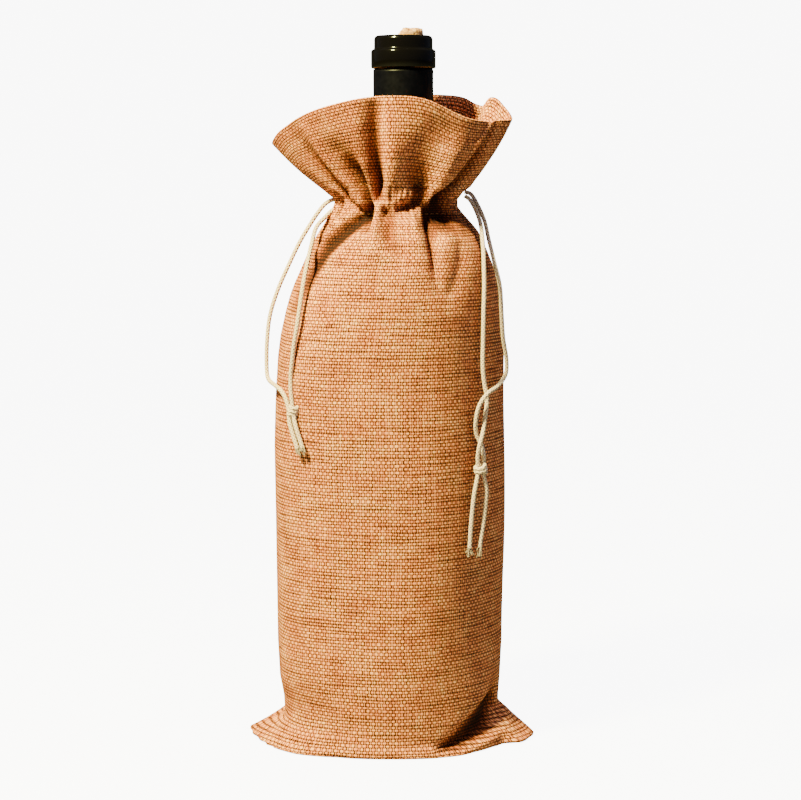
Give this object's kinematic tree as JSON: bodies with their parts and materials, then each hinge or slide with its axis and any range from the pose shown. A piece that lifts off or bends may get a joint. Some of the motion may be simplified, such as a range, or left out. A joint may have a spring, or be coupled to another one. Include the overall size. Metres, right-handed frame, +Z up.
{
  "type": "bottle gift bag",
  "caption": "Drawstring bottle bag of open-weave burlap-look cloth, gathered by braided cords round the neck of the wine bottle standing in it.",
  "frame": {"origin": "on the floor under the middle of the bag", "axes": "+Z up, -Y to the front, +X to the viewer's right"},
  "size_m": [0.135, 0.082, 0.3294],
  "materials": {
    "woven_cloth": "matt plain weave",
    "braided_cord": "matt braid",
    "sewing_thread": "matt thread",
    "dark_glass": "gloss",
    "black_capsule": "matt shrink sleeve",
    "wine": "liquid",
    "cork": "raw cork"
  },
  "bodies": {
    "bag": {"front_panel": "woven_cloth", "back_panel": "woven_cloth", "front_shoulder": "woven_cloth", "back_shoulder": "woven_cloth", "front_casing": "woven_cloth", "back_casing": "woven_cloth", "front_ruffle": "woven_cloth", "back_ruffle": "woven_cloth", "left_seam_allowance": "woven_cloth", "right_seam_allowance": "woven_cloth", "bottom_seam_allowance": "woven_cloth", "left_side_stitching": "sewing_thread", "right_side_stitching": "sewing_thread", "bottom_stitching": "sewing_thread", "lower_casing_stitching": "sewing_thread", "upper_casing_stitching": "sewing_thread", "left_cord_run": "braided_cord", "right_cord_run": "braided_cord"},
    "left_cord": {"left_front_strand": "braided_cord", "left_rear_strand": "braided_cord"},
    "left_cord_end": {"left_knot": "braided_cord", "left_front_tail": "braided_cord", "left_rear_tail": "braided_cord"},
    "right_cord": {"right_front_strand": "braided_cord", "right_rear_strand": "braided_cord"},
    "right_cord_end": {"right_knot": "braided_cord", "right_front_tail": "braided_cord", "right_rear_tail": "braided_cord"},
    "bottle": {"bottle_glass": "dark_glass", "foil_capsule": "black_capsule", "wine": "wine"},
    "cork": {"cork": "cork"}
  },
  "joints": [
    {"name": "bottle_lift", "type": "slide", "parent": "bag", "child": "bottle", "axis": [0, 0, 1], "range_m": [0, 0.33], "deforming": ["front_shoulder", "back_shoulder", "front_casing", "back_casing", "front_ruffle", "back_ruffle", "left_seam_allowance", "right_seam_allowance", "left_side_stitching", "right_side_stitching", "lower_casing_stitching", "upper_casing_stitching", "left_cord_run", "right_cord_run"]},
    {"name": "cork_pull", "type": "slide", "parent": "bottle", "child": "cork", "axis": [0, 0, 1], "range_m": [0, 0.045]},
    {"name": "left_cord_swing", "type": "hinge", "parent": "bag", "child": "left_cord", "pos_m": [-0.025, 0, 0.25], "axis": [0, 1, 0], "range_deg": [0, 90]},
    {"name": "left_cord_pull", "type": "slide", "parent": "left_cord", "child": "left_cord_end", "axis": [0, 0, 1], "range_m": [0, 0.04], "deforming": ["left_front_strand", "left_rear_strand"]},
    {"name": "right_cord_swing", "type": "hinge", "parent": "bag", "child": "right_cord", "pos_m": [0.035, 0, 0.25], "axis": [0, -1, 0], "range_deg": [0, 90]},
    {"name": "right_cord_pull", "type": "slide", "parent": "right_cord", "child": "right_cord_end", "axis": [0, 0, 1], "range_m": [0, 0.04], "deforming": ["right_front_strand", "right_rear_strand"]}
  ]
}
